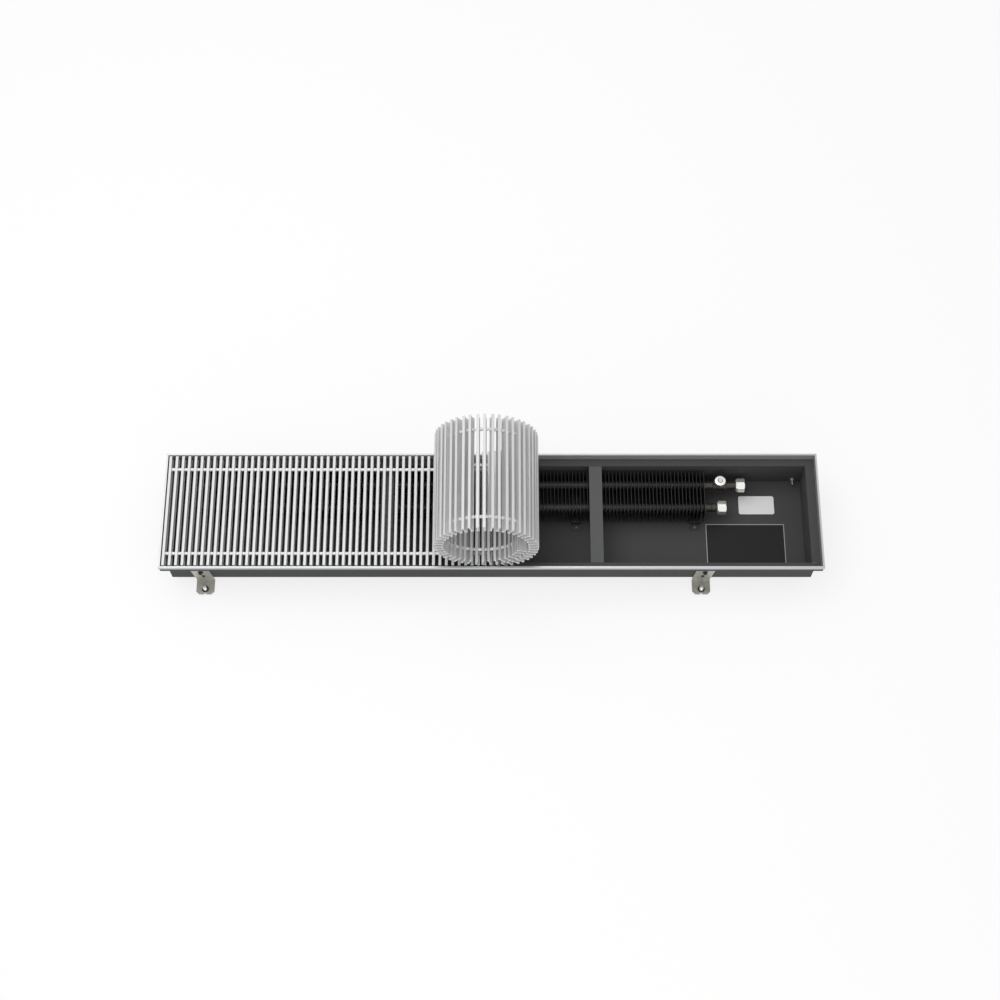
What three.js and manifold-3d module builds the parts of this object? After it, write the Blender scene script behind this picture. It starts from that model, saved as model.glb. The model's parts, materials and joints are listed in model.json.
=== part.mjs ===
// Trench convector heater: a sheet-steel trough for a floor, with an aluminium edge frame, a finned
// water heat exchanger, height-adjusting brackets and a roll-up grille that is half rolled up.
// Millimetres. X runs along the trench, Y across it (front is -Y), Z is up.
// The origin is the middle of the underside of the trough.

import * as THREE from 'three';
import { mergeVertices } from 'three/addons/utils/BufferGeometryUtils.js';
import Module from 'manifold-3d';

const wasm = await Module();
wasm.setup();

// ---------------------------------------------------------------- driving dimensions

// Overall size, over the edge frame.
const LENGTH = 1220;
const WIDTH = 230;
const HEIGHT = 90;

// Clearances.
const GAP = 0.3;          // between pieces that touch
const PIVOT_GAP = 0.6;    // from a grille pivot to the end of the rod beside it

// Trough.
const SHEET = 1;          // steel sheet of the trough and its end walls
const SIDE_INSET = 16.4;  // long wall behind the outer edge of the frame
const END_INSET = 20;     // end wall behind the outer edge of the frame
const SIDE_OVERRUN = 9;   // how far floor and long walls run past the end walls
const KNOCKOUT_RAISE = 0.6;
const KNOCKOUT_LENGTH = 24;
const KNOCKOUT_HEIGHT = 13;
const KNOCKOUT_UNDER_LEDGE = 2.5;
const KNOCKOUT_FROM_END = 143;

// Edge frame, an inverted U over the lip of the trough.
const FRAME_LEG = 0.9;
const FRAME_OUTER_LEG = 8;

// Grille.
const LAMELLA_HEIGHT = 18;
const LAMELLA_FLANGE = 5;
const LAMELLA_WEB = 1.8;
const LAMELLA_TAPER = 2.6;     // height over which a flange thins into the web
const LAMELLA_END_GAP = 5.6;   // from the ends of the lamellae to the frame
const LAMELLA_PITCH = 11.8;
const ROD_SIZE = 4;
const ROD_BELOW_TOP = 6;       // middle of the rods below the walking surface
const ROD_FROM_LAMELLA_END = 21.5;
const LINK_COUNT = 26;         // pairs of lamellae in the rolled part
const ROLL_RADIUS = 93;        // from the roll's middle to the rods, where the roll starts
const ROLL_LAYER_PITCH = 20.5; // how much nearer the middle each turn lies

// Cross braces.
const BRACE_WIDTH = 24;
const BRACE_DEPTH = 9;
const BRACE_SHEET = 1.5;
const BRACE_TAB = 26;
const BRACE_FROM_END = 415;    // middle of a brace from the end of the frame

// Heat exchanger.
const PIPE_DIAMETER = 15;
const PIPE_SPACING = 46;
const PIPE_HEIGHT = 35;
const FIN_DEPTH = 86;
const FIN_HEIGHT = 50;
const FIN_THICKNESS = 0.8;
const FIN_PITCH = 13.6;
const FIN_TO_BACK_WALL = 3.6;
const CONNECTION_SPACE = 190;  // from the fins to the right end wall
const BEND_SPACE = 62;         // from the fins to the left end wall
const PIPE_STUB = 12;          // pipe past the last fin

// Fittings at the connection end.
const TEE_DIAMETER = 20;
const TEE_LENGTH = 26;
const TEE_FROM_FINS = 31;
const BOSS_DIAMETER = 15;
const BOSS_HEIGHT = 16;
const VENT_DIAMETER = 21;
const VENT_HEIGHT = 7.5;
const BLEED_DIAMETER = 8;
const BLEED_HEIGHT = 5;
const SLOT_WIDTH = 1.4;
const NUT_ACROSS_FLATS = 24;
const NUT_LENGTH = 16.6;
const FLOW_NUT_FROM_FINS = 62;
const RETURN_NUT_FROM_FINS = 25;
const TAIL_BEYOND_NUT = 4;     // how far short of the nut's mouth the pipe tail stops

// Supports of the heat exchanger.
const SUPPORT_COUNT = 5;
const SUPPORT_WIDTH = 19;
const SUPPORT_SHEET = 1.2;
const SUPPORT_TAB = 12;
const SUPPORT_END_INSET = 15;  // middle of the end supports from the last fin

// Height-adjusting brackets and their screws.
const BRACKET_FROM_LEFT_END = 73;
const BRACKET_FROM_RIGHT_END = 217;
const BRACKET_WIDTH = 34;
const BRACKET_LEAN = 9;        // how far the leg leans towards the end of the trough
const BRACKET_SHEET = 2;
const BRACKET_DROP = 10;       // underside of the foot below the trough
const BRACKET_TOP = 66;
const BRACKET_FOOT_LENGTH = 31;
const BRACKET_SLOT_WIDTH = 6;
const BRACKET_SLOT_LENGTH = 14;
const BRACKET_SLOT_HEIGHTS = [9, 29];
const BRACKET_NOTCH = 5;
const SCREW_DIAMETER = 7.4;
const SCREW_LENGTH = 24;
const SCREW_FROM_WALL = 21.4;
const SCREW_PAD_BELOW_FOOT = 2;
const SCREW_PAD_DIAMETER = 15;
const SCREW_PAD_HEIGHT = 4;
const SCREW_SOCKET = 4;

// Earthing stud.
const STUD_FROM_END = 16;
const STUD_HEIGHT = 15;
const STUD_DIAMETER = 5;
const STUD_LENGTH = 13;
const STUD_NUT_DIAMETER = 10;
const STUD_NUT_LENGTH = 4;

// ---------------------------------------------------------------- sizes worked out from them

const ledgeTop = HEIGHT - LAMELLA_HEIGHT - GAP;
const wallOuterY = WIDTH / 2 - SIDE_INSET;
const wallInnerY = wallOuterY - SHEET;
const endWallX = LENGTH / 2 - END_INSET;
const sideEndX = endWallX + SIDE_OVERRUN;
const lipInset = FRAME_LEG + GAP;
const frameWidth = 2 * lipInset + SHEET;
const lipTop = HEIGHT - lipInset;
const frameInnerX = LENGTH / 2 - frameWidth;

const lamellaLength = WIDTH - 2 * (frameWidth + LAMELLA_END_GAP);
const rodSpacing = lamellaLength - 2 * ROD_FROM_LAMELLA_END;
const rodHeight = HEIGHT - ROD_BELOW_TOP;
const linkPitch = 2 * LAMELLA_PITCH;
const lamellaCount = 2 * Math.floor((frameInnerX - LAMELLA_FLANGE / 2) / LAMELLA_PITCH) + 1;
const flatCount = lamellaCount - 2 * LINK_COUNT;
const firstLamellaX = -LAMELLA_PITCH * (lamellaCount - 1) / 2;
const firstPivotX = firstLamellaX + LAMELLA_PITCH * (flatCount - 0.5);

const finBackY = wallInnerY - FIN_TO_BACK_WALL;
const finFrontY = finBackY - FIN_DEPTH;
const finMiddleY = (finBackY + finFrontY) / 2;
const flowY = finMiddleY + PIPE_SPACING / 2;
const returnY = finMiddleY - PIPE_SPACING / 2;
const finBottom = PIPE_HEIGHT - FIN_HEIGHT / 2;
const finRightX = endWallX - CONNECTION_SPACE;
const finLeftX = -endWallX + BEND_SPACE;
const tailStartX = finRightX + PIPE_STUB + GAP;

const braceTop = ledgeTop - GAP;
const braceX = LENGTH / 2 - BRACE_FROM_END;
const bracketY = wallOuterY + GAP;
const screwY = wallOuterY + SCREW_FROM_WALL;
const screwBottom = -BRACKET_DROP - SCREW_PAD_BELOW_FOOT - SCREW_PAD_HEIGHT;

// ---------------------------------------------------------------- materials

function finish(color, roughness, metalness) {
  return new THREE.MeshStandardMaterial({ color, roughness, metalness });
}

const coatedSteel = () => finish(0x454545, 0.55, 0.2);
const anodisedAluminium = () => finish(0xd2d4d5, 0.35, 0.85);
const blackAluminium = () => finish(0x141414, 0.5, 0.4);
const greySteel = () => finish(0x525252, 0.5, 0.3);
const galvanisedSteel = () => finish(0xb3b2a6, 0.45, 0.8);
const nickelledBrass = () => finish(0xd8d6cf, 0.25, 0.9);
const copper = () => finish(0x2a241f, 0.45, 0.6);
const zincSteel = () => finish(0xa9a9a7, 0.4, 0.85);

// ---------------------------------------------------------------- modelling helpers

// A closed geometry as a solid that can be joined and cut.
function solid(geometry) {
  const bare = geometry.clone();
  bare.deleteAttribute('normal');
  bare.deleteAttribute('uv');
  const merged = mergeVertices(bare, 1e-4);
  const index = merged.index.array;
  const triangles = [];
  for (let i = 0; i < index.length; i += 3) {
    const [a, b, c] = [index[i], index[i + 1], index[i + 2]];
    if (a !== b && b !== c && c !== a) triangles.push(a, b, c);
  }
  return new wasm.Manifold(new wasm.Mesh({
    numProp: 3,
    vertProperties: new Float32Array(merged.attributes.position.array),
    triVerts: new Uint32Array(triangles),
  }));
}

function geometryOf(body) {
  const mesh = body.getMesh();
  const geometry = new THREE.BufferGeometry();
  geometry.setAttribute('position', new THREE.BufferAttribute(new Float32Array(mesh.vertProperties), 3));
  geometry.setIndex(new THREE.BufferAttribute(new Uint32Array(mesh.triVerts), 1));
  geometry.computeVertexNormals();
  return geometry;
}

function join(first, ...others) {
  return geometryOf(others.reduce((body, other) => body.add(solid(other)), solid(first)));
}

function cut(first, ...tools) {
  return geometryOf(tools.reduce((body, tool) => body.subtract(solid(tool)), solid(first)));
}

function block(x0, x1, y0, y1, z0, z1) {
  const geometry = new THREE.BoxGeometry(x1 - x0, y1 - y0, z1 - z0);
  return geometry.translate((x0 + x1) / 2, (y0 + y1) / 2, (z0 + z1) / 2);
}

function extrude(points, depth) {
  const shape = new THREE.Shape(points.map(([u, v]) => new THREE.Vector2(u, v)));
  return new THREE.ExtrudeGeometry(shape, { depth, bevelEnabled: false });
}

// An outline of (y, z) points run along X.
function alongX(points, x0, x1) {
  const turn = new THREE.Matrix4().makeBasis(
    new THREE.Vector3(0, 1, 0), new THREE.Vector3(0, 0, 1), new THREE.Vector3(1, 0, 0));
  return extrude(points, x1 - x0).applyMatrix4(turn).translate(x0, 0, 0);
}

// An outline of (x, z) points run along Y.
function alongY(points, y0, y1) {
  const turn = new THREE.Matrix4().makeBasis(
    new THREE.Vector3(1, 0, 0), new THREE.Vector3(0, 0, 1), new THREE.Vector3(0, -1, 0));
  return extrude(points, y1 - y0).applyMatrix4(turn).translate(0, y1, 0);
}

// An outline of (x, y) points run up Z.
function alongZ(points, z0, z1) {
  return extrude(points, z1 - z0).translate(0, 0, z0);
}

// A profile of (radius, height) points turned about the vertical through (x, y).
function turned(profile, segments, x, y) {
  const points = profile.map(([r, h]) => new THREE.Vector2(r, h));
  return new THREE.LatheGeometry(points, segments).rotateX(Math.PI / 2).translate(x, y, 0);
}

// A round or many-sided bar along X.
function barAlongX(diameter, sides, x0, x1, y, z) {
  const bar = new THREE.CylinderGeometry(diameter / 2, diameter / 2, x1 - x0, sides);
  return bar.rotateZ(Math.PI / 2).translate((x0 + x1) / 2, y, z);
}

function mirrored(points) {
  return points.map(([u, v]) => [-u, v]).reverse();
}

// An outline with rounded ends, length by height, about (u, v).
function obround(length, height, u, v, steps = 6) {
  const points = [];
  for (let i = 0; i <= 2 * steps + 1; i += 1) {
    const right = i <= steps;
    const angle = -Math.PI / 2 + Math.PI * (right ? i : i - 1) / steps;
    const middle = (right ? 1 : -1) * (length - height) / 2;
    points.push([u + middle + Math.cos(angle) * height / 2, v + Math.sin(angle) * height / 2]);
  }
  return points;
}

function node(name, geometry, material) {
  const mesh = new THREE.Mesh(geometry, material);
  mesh.name = name;
  return mesh;
}

// ---------------------------------------------------------------- trough

// Floor, long walls, ledges and lips folded from one sheet.
function casing() {
  const side = [
    [wallOuterY, 0],
    [wallOuterY, ledgeTop - SHEET],
    [WIDTH / 2 - lipInset, ledgeTop - SHEET],
    [WIDTH / 2 - lipInset, lipTop],
    [WIDTH / 2 - lipInset - SHEET, lipTop],
    [WIDTH / 2 - lipInset - SHEET, ledgeTop],
    [wallInnerY, ledgeTop],
    [wallInnerY, SHEET],
  ];
  const trough = alongX([...side, ...mirrored(side)], -sideEndX, sideEndX);
  const ledge = [side[6], [wallInnerY, ledgeTop - SHEET], ...side.slice(2, 6)];
  const ledgeEndX = LENGTH / 2 - lipInset;
  const knockoutX = endWallX - KNOCKOUT_FROM_END;
  const knockoutZ = ledgeTop - SHEET - KNOCKOUT_UNDER_LEDGE - KNOCKOUT_HEIGHT / 2;
  const knockout = alongY(obround(KNOCKOUT_LENGTH, KNOCKOUT_HEIGHT, knockoutX, knockoutZ),
    wallInnerY - KNOCKOUT_RAISE, wallOuterY);
  return join(trough, alongX(ledge, -ledgeEndX, ledgeEndX),
    alongX(mirrored(ledge), -ledgeEndX, ledgeEndX), knockout);
}

// End wall with a foot flange, a ledge and a lip; side is 1 on the right and -1 on the left.
function endWall(side) {
  const flangeBottom = SHEET + GAP;
  const lipX = LENGTH / 2 - lipInset;
  const outline = [
    [endWallX, flangeBottom],
    [sideEndX, flangeBottom],
    [sideEndX, flangeBottom + SHEET],
    [endWallX + SHEET, flangeBottom + SHEET],
    [endWallX + SHEET, ledgeTop - SHEET],
    [lipX, ledgeTop - SHEET],
    [lipX, lipTop],
    [lipX - SHEET, lipTop],
    [lipX - SHEET, ledgeTop],
    [endWallX, ledgeTop],
  ];
  const halfWidth = wallInnerY - GAP;
  const points = side > 0 ? outline : mirrored(outline);
  const pipeHoles = side > 0 ? [flowY, returnY] : [];
  const knockouts = pipeHoles.map((y) =>
    barAlongX(PIPE_DIAMETER * 1.8, 16, endWallX - KNOCKOUT_RAISE, endWallX + SHEET, y, PIPE_HEIGHT));
  return join(alongY(points, -halfWidth, halfWidth), ...knockouts);
}

// One rail of the edge frame, an inverted U with both ends mitred to meet its neighbours.
// length is along the rail and reach is how far its outer face lies from the middle of the trough.
function frameRail(length, reach) {
  const outline = [
    [reach, HEIGHT - FRAME_OUTER_LEG],
    [reach, HEIGHT],
    [reach - frameWidth, HEIGHT],
    [reach - frameWidth, ledgeTop + GAP],
    [reach - frameWidth + FRAME_LEG, ledgeTop + GAP],
    [reach - frameWidth + FRAME_LEG, HEIGHT - FRAME_LEG],
    [reach - FRAME_LEG, HEIGHT - FRAME_LEG],
    [reach - FRAME_LEG, HEIGHT - FRAME_OUTER_LEG],
  ];
  const rail = alongX(outline, -1, 1);
  const position = rail.attributes.position;
  for (let i = 0; i < position.count; i += 1) {
    const mitre = reach - position.getY(i) + GAP / 2;
    position.setX(i, Math.sign(position.getX(i)) * (length / 2 - mitre));
  }
  return rail;
}

// Inverted channel between the long walls, under the grille, with a tab down each wall.
function crossBrace(x) {
  const halfWidth = BRACE_WIDTH / 2;
  const under = braceTop - BRACE_SHEET;
  const channel = [
    [x - halfWidth, braceTop - BRACE_DEPTH],
    [x - halfWidth + BRACE_SHEET, braceTop - BRACE_DEPTH],
    [x - halfWidth + BRACE_SHEET, under],
    [x + halfWidth - BRACE_SHEET, under],
    [x + halfWidth - BRACE_SHEET, braceTop - BRACE_DEPTH],
    [x + halfWidth, braceTop - BRACE_DEPTH],
    [x + halfWidth, braceTop],
    [x - halfWidth, braceTop],
  ];
  const endY = wallInnerY - GAP;
  const tab = (y0, y1) => block(x - halfWidth, x + halfWidth, y0, y1, braceTop - BRACE_TAB, braceTop);
  return join(alongY(channel, -endY, endY),
    tab(endY - BRACE_SHEET, endY), tab(-endY, -endY + BRACE_SHEET));
}

// ---------------------------------------------------------------- heat exchanger

// Fins pressed on two water pipes.
function exchangerCore() {
  const span = finRightX - finLeftX - FIN_THICKNESS;
  const gaps = Math.round(span / FIN_PITCH);
  const pipe = (y) =>
    barAlongX(PIPE_DIAMETER, 6, finLeftX - PIPE_STUB, finRightX + PIPE_STUB, y, PIPE_HEIGHT);
  const fins = [];
  for (let i = 0; i <= gaps; i += 1) {
    const x = finLeftX + span * i / gaps;
    fins.push(block(x, x + FIN_THICKNESS, finFrontY, finBackY, finBottom, finBottom + FIN_HEIGHT));
  }
  return join(pipe(flowY), pipe(returnY), ...fins);
}

// Half a turn of pipe that carries the water from the flow pipe back into the return pipe.
class HalfTurn extends THREE.Curve {
  getPoint(t) {
    const angle = Math.PI / 2 + Math.PI * t;
    const radius = PIPE_SPACING / 2;
    const x = finLeftX - PIPE_STUB - GAP + radius * Math.cos(angle);
    return new THREE.Vector3(x, finMiddleY + radius * Math.sin(angle), PIPE_HEIGHT);
  }
}

function returnBend() {
  const ring = [];
  for (let i = 0; i < 10; i += 1) {
    const angle = 2 * Math.PI * i / 10;
    ring.push(new THREE.Vector2(Math.cos(angle), Math.sin(angle)).multiplyScalar(PIPE_DIAMETER / 2));
  }
  return new THREE.ExtrudeGeometry(new THREE.Shape(ring), { steps: 12, extrudePath: new HalfTurn() });
}

const teeX = finRightX + TEE_FROM_FINS;
const bossTop = PIPE_HEIGHT + BOSS_HEIGHT;
const ventBottom = bossTop + GAP;
const bleedBottom = ventBottom + VENT_HEIGHT - BLEED_HEIGHT / 2;

// Flow tail with the tee that carries the air vent.
function flowTee() {
  const endX = finRightX + FLOW_NUT_FROM_FINS + NUT_LENGTH - TAIL_BEYOND_NUT;
  const tail = barAlongX(PIPE_DIAMETER, 12, tailStartX, endX, flowY, PIPE_HEIGHT);
  const body = barAlongX(TEE_DIAMETER, 12, teeX - TEE_LENGTH / 2, teeX + TEE_LENGTH / 2, flowY, PIPE_HEIGHT);
  const boss = turned([[0, PIPE_HEIGHT], [BOSS_DIAMETER / 2, PIPE_HEIGHT],
    [BOSS_DIAMETER / 2, bossTop], [0, bossTop]], 12, teeX, flowY);
  return join(tail, body, boss);
}

function returnTail() {
  const endX = finRightX + RETURN_NUT_FROM_FINS + NUT_LENGTH - TAIL_BEYOND_NUT;
  return barAlongX(PIPE_DIAMETER, 12, tailStartX, endX, returnY, PIPE_HEIGHT);
}

// Union nut, loose on its tail until it is screwed to the supply pipe.
function unionNut(fromFins, y) {
  const x = finRightX + fromFins;
  const acrossCorners = NUT_ACROSS_FLATS / Math.cos(Math.PI / 6);
  const bore = PIPE_DIAMETER + 2 * GAP;
  const collar = barAlongX(NUT_ACROSS_FLATS - 1, 12, x, x + 3, y, PIPE_HEIGHT);
  const hexagon = barAlongX(acrossCorners, 6, x + 2, x + NUT_LENGTH, y, PIPE_HEIGHT);
  return geometryOf(solid(collar).add(solid(hexagon))
    .subtract(solid(barAlongX(bore, 12, x - 1, x + NUT_LENGTH + 1, y, PIPE_HEIGHT))));
}

// Round head of the air vent, with a seat for the bleed screw in the middle.
function airVent() {
  const radius = VENT_DIAMETER / 2;
  const top = ventBottom + VENT_HEIGHT;
  const seat = BLEED_DIAMETER / 2 + GAP;
  return turned([
    [0, ventBottom], [BOSS_DIAMETER / 2, ventBottom], [radius, ventBottom + 2],
    [radius, top - 1.5], [radius - 1.5, top], [seat, top], [seat, bleedBottom - GAP],
    [0, bleedBottom - GAP],
  ], 16, teeX, flowY);
}

function bleedScrew() {
  const radius = BLEED_DIAMETER / 2;
  const top = bleedBottom + BLEED_HEIGHT;
  const head = turned([[0, bleedBottom], [radius, bleedBottom], [radius, top - 0.5],
    [radius - 0.5, top], [0, top]], 12, teeX, flowY);
  const slot = block(teeX - BLEED_DIAMETER, teeX + BLEED_DIAMETER,
    flowY - SLOT_WIDTH / 2, flowY + SLOT_WIDTH / 2, top - SLOT_WIDTH, top + 1);
  return cut(head, slot);
}

// Folded saddle on the trough floor that carries the fins.
function exchangerSupport(x) {
  const floor = SHEET + GAP;
  const seat = finBottom - GAP;
  const frontY = finFrontY - SUPPORT_TAB;
  const backLegY = finBackY;
  const t = SUPPORT_SHEET;
  const outline = [
    [frontY, floor],
    [finFrontY + t, floor],
    [finFrontY + t, seat - t],
    [backLegY - t, seat - t],
    [backLegY - t, floor],
    [backLegY + t, floor],
    [backLegY + t, floor + t],
    [backLegY, floor + t],
    [backLegY, seat],
    [finFrontY, seat],
    [finFrontY, floor + t],
    [frontY, floor + t],
  ];
  return alongX(outline, x - SUPPORT_WIDTH / 2, x + SUPPORT_WIDTH / 2);
}

// ---------------------------------------------------------------- brackets, screws and stud

// L-bracket on the back long wall at x: leg with two slots up the wall, foot out over the subfloor.
function bracket(x) {
  const footBottom = -BRACKET_DROP;
  const footTop = footBottom + BRACKET_SHEET;
  const footEnd = bracketY + BRACKET_FOOT_LENGTH;
  const half = BRACKET_WIDTH / 2;
  const chamfer = BRACKET_WIDTH / 6;
  const leanAt = (z) => Math.sign(x) * BRACKET_LEAN * (z - footTop) / (BRACKET_TOP - footTop);
  const corner = 4;
  const shoulder = BRACKET_TOP - corner;
  const leg = [
    [x - half, footBottom], [x + half, footBottom], [x + half, footTop],
    [x + half + leanAt(shoulder), shoulder], [x + half - corner + leanAt(BRACKET_TOP), BRACKET_TOP],
    [x - half + corner + leanAt(BRACKET_TOP), BRACKET_TOP], [x - half + leanAt(shoulder), shoulder],
    [x - half, footTop],
  ];
  const foot = [
    [x - half, bracketY], [x + half, bracketY], [x + half, footEnd - chamfer],
    [x + half - chamfer, footEnd], [x + BRACKET_NOTCH / 2, footEnd],
    [x + BRACKET_NOTCH / 2, footEnd - BRACKET_NOTCH / 2],
    [x - BRACKET_NOTCH / 2, footEnd - BRACKET_NOTCH / 2],
    [x - BRACKET_NOTCH / 2, footEnd], [x - half + chamfer, footEnd], [x - half, footEnd - chamfer],
  ];
  const slots = BRACKET_SLOT_HEIGHTS.map((z) => {
    const outline = obround(BRACKET_SLOT_LENGTH, BRACKET_SLOT_WIDTH, 0, 0, 4);
    const upright = outline.map(([u, v]) => [x + leanAt(z) - v, z + u]);
    return alongY(upright, bracketY - 1, bracketY + BRACKET_SHEET + 1);
  });
  const hole = new THREE.CylinderGeometry(SCREW_DIAMETER / 2 + GAP, SCREW_DIAMETER / 2 + GAP, 20, 12)
    .rotateX(Math.PI / 2).translate(x, screwY, footBottom);
  const plate = solid(alongY(leg, bracketY, bracketY + BRACKET_SHEET))
    .add(solid(alongZ(foot, footBottom, footTop)));
  return geometryOf([...slots, hole].reduce((body, tool) => body.subtract(solid(tool)), plate));
}

// Levelling screw: threaded shank with a swivel pad below and a hexagon socket on top.
function levellingScrew(x) {
  const radius = SCREW_DIAMETER / 2;
  const pad = SCREW_PAD_DIAMETER / 2;
  const padTop = screwBottom + SCREW_PAD_HEIGHT;
  const top = screwBottom + SCREW_LENGTH;
  const body = turned([
    [0, screwBottom], [pad, screwBottom], [pad, padTop - SCREW_PAD_HEIGHT / 2], [radius + 1.5, padTop],
    [radius, padTop], [radius, top - 1], [radius - 1, top], [0, top],
  ], 12, x, screwY);
  const socket = new THREE.CylinderGeometry(SCREW_SOCKET / 2, SCREW_SOCKET / 2, SCREW_SOCKET * 2, 6)
    .rotateX(Math.PI / 2).translate(x, screwY, top);
  return cut(body, socket);
}

// Earthing stud with its nut, square to the back wall.
function earthStud() {
  const profile = [
    [0, GAP], [STUD_NUT_DIAMETER / 2, GAP], [STUD_NUT_DIAMETER / 2, GAP + STUD_NUT_LENGTH],
    [STUD_DIAMETER / 2, GAP + STUD_NUT_LENGTH], [STUD_DIAMETER / 2, STUD_LENGTH - 1],
    [STUD_DIAMETER / 2 - 1, STUD_LENGTH], [0, STUD_LENGTH],
  ];
  return turned(profile, 12, 0, 0).rotateX(Math.PI / 2)
    .translate(endWallX - STUD_FROM_END, wallInnerY, STUD_HEIGHT);
}

// ---------------------------------------------------------------- roll-up grille

// Section of a lamella about the rod axis, in (along the grille, up): a web between two flanges
// whose inner sides taper into it.
function lamellaSection() {
  const flange = LAMELLA_FLANGE / 2;
  const web = LAMELLA_WEB / 2;
  const top = ROD_BELOW_TOP;
  const bottom = ROD_BELOW_TOP - LAMELLA_HEIGHT;
  return [
    [-flange, bottom], [flange, bottom], [web, bottom + LAMELLA_TAPER], [web, top - LAMELLA_TAPER],
    [flange, top], [-flange, top], [-web, top - LAMELLA_TAPER], [-web, bottom + LAMELLA_TAPER],
  ];
}

// Lamellae at the given places along the grille, threaded on two rods from start to end.
function ladder(places, start, end) {
  const section = lamellaSection();
  const lamellae = places.map((place) =>
    alongY(section.map(([u, v]) => [place + u, v]), -lamellaLength / 2, lamellaLength / 2));
  const half = ROD_SIZE / 2;
  const rod = (y) => block(start, end, y - half, y + half, -half, half);
  return join(rod(rodSpacing / 2), rod(-rodSpacing / 2), ...lamellae);
}

function flatGrille() {
  const places = [];
  for (let i = 0; i < flatCount; i += 1) places.push(firstLamellaX + i * LAMELLA_PITCH);
  const start = firstLamellaX - LAMELLA_WEB / 2;
  return ladder(places, start, firstPivotX - PIVOT_GAP).translate(0, 0, rodHeight);
}

// How far each link turns on its pivot in the roll: more and more, as the spiral tightens.
function rollAngles() {
  const angles = [];
  let turnedSoFar = 0;
  for (let i = 0; i < LINK_COUNT; i += 1) {
    const radius = ROLL_RADIUS - ROLL_LAYER_PITCH * turnedSoFar / (2 * Math.PI);
    angles.push(linkPitch / radius);
    turnedSoFar += linkPitch / radius;
  }
  return angles;
}

// The rolled part: each link is two lamellae on short rods, carried on a pivot by the link before.
function grilleRoll() {
  const places = [LAMELLA_PITCH / 2, LAMELLA_PITCH * 3 / 2];
  const middleLink = ladder(places, PIVOT_GAP, linkPitch - PIVOT_GAP);
  const lastLink = ladder(places, PIVOT_GAP, places[1] + LAMELLA_WEB / 2);
  const root = new THREE.Group();
  root.position.set(firstPivotX, 0, rodHeight);
  let carrier = root;
  rollAngles().forEach((angle, i) => {
    const link = new THREE.Group();
    link.position.x = i === 0 ? 0 : linkPitch;
    link.rotation.y = -angle;
    const number = String(i + 1).padStart(2, '0');
    const geometry = i === LINK_COUNT - 1 ? lastLink : middleLink;
    link.add(node(`grille_link_${number}`, geometry, anodisedAluminium()));
    carrier.add(link);
    carrier = link;
  });
  return root;
}

// ---------------------------------------------------------------- assembly

function supportPlaces() {
  const first = finLeftX + SUPPORT_END_INSET;
  const step = (finRightX - SUPPORT_END_INSET - first) / (SUPPORT_COUNT - 1);
  return Array.from({ length: SUPPORT_COUNT }, (_, i) => first + i * step);
}

function assembleTrough() {
  const trough = new THREE.Group();
  trough.add(node('casing', casing(), coatedSteel()));
  trough.add(node('end_wall_right', endWall(1), coatedSteel()));
  trough.add(node('end_wall_left', endWall(-1), coatedSteel()));
  const longRail = frameRail(LENGTH, WIDTH / 2);
  const shortRail = frameRail(WIDTH, LENGTH / 2);
  trough.add(node('frame_rail_back', longRail, anodisedAluminium()));
  trough.add(node('frame_rail_front', longRail.clone().rotateZ(Math.PI), anodisedAluminium()));
  trough.add(node('frame_rail_left', shortRail.clone().rotateZ(Math.PI / 2), anodisedAluminium()));
  trough.add(node('frame_rail_right', shortRail.clone().rotateZ(-Math.PI / 2), anodisedAluminium()));
  trough.add(node('cross_brace_right', crossBrace(braceX), greySteel()));
  trough.add(node('cross_brace_left', crossBrace(-braceX), greySteel()));
  trough.add(node('earth_stud', earthStud(), zincSteel()));
  return trough;
}

function assembleExchanger() {
  const exchanger = new THREE.Group();
  exchanger.add(node('exchanger_core', exchangerCore(), blackAluminium()));
  exchanger.add(node('return_bend', returnBend(), copper()));
  exchanger.add(node('flow_tee', flowTee(), copper()));
  exchanger.add(node('return_tail', returnTail(), copper()));
  exchanger.add(node('flow_union_nut', unionNut(FLOW_NUT_FROM_FINS, flowY), nickelledBrass()));
  exchanger.add(node('return_union_nut', unionNut(RETURN_NUT_FROM_FINS, returnY), nickelledBrass()));
  exchanger.add(node('air_vent', airVent(), nickelledBrass()));
  exchanger.add(node('bleed_screw', bleedScrew(), nickelledBrass()));
  supportPlaces().forEach((x, i) => {
    exchanger.add(node(`exchanger_support_${i + 1}`, exchangerSupport(x), greySteel()));
  });
  return exchanger;
}

// A bracket and its screw at each corner; the front pair is the back pair turned half round.
function assembleBrackets() {
  const brackets = new THREE.Group();
  const places = { left: BRACKET_FROM_LEFT_END - LENGTH / 2, right: LENGTH / 2 - BRACKET_FROM_RIGHT_END };
  for (const [end, x] of Object.entries(places)) {
    brackets.add(node(`bracket_back_${end}`, bracket(x), galvanisedSteel()));
    brackets.add(node(`levelling_screw_back_${end}`, levellingScrew(x), zincSteel()));
    brackets.add(node(`bracket_front_${end}`, bracket(-x).rotateZ(Math.PI), galvanisedSteel()));
    brackets.add(node(`levelling_screw_front_${end}`, levellingScrew(-x).rotateZ(Math.PI), zincSteel()));
  }
  return brackets;
}

function assembleGrille() {
  const grille = new THREE.Group();
  grille.add(node('grille_flat', flatGrille(), anodisedAluminium()));
  grille.add(grilleRoll());
  return grille;
}

const heater = new THREE.Group();
heater.add(assembleTrough(), assembleExchanger(), assembleBrackets(), assembleGrille());

export default heater;
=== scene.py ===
"""A trench convector heater seen from above: steel trough, finned heat exchanger, half-rolled grille."""

import json
import math

import bmesh
import bpy
from mathutils import Matrix, Vector

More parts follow.
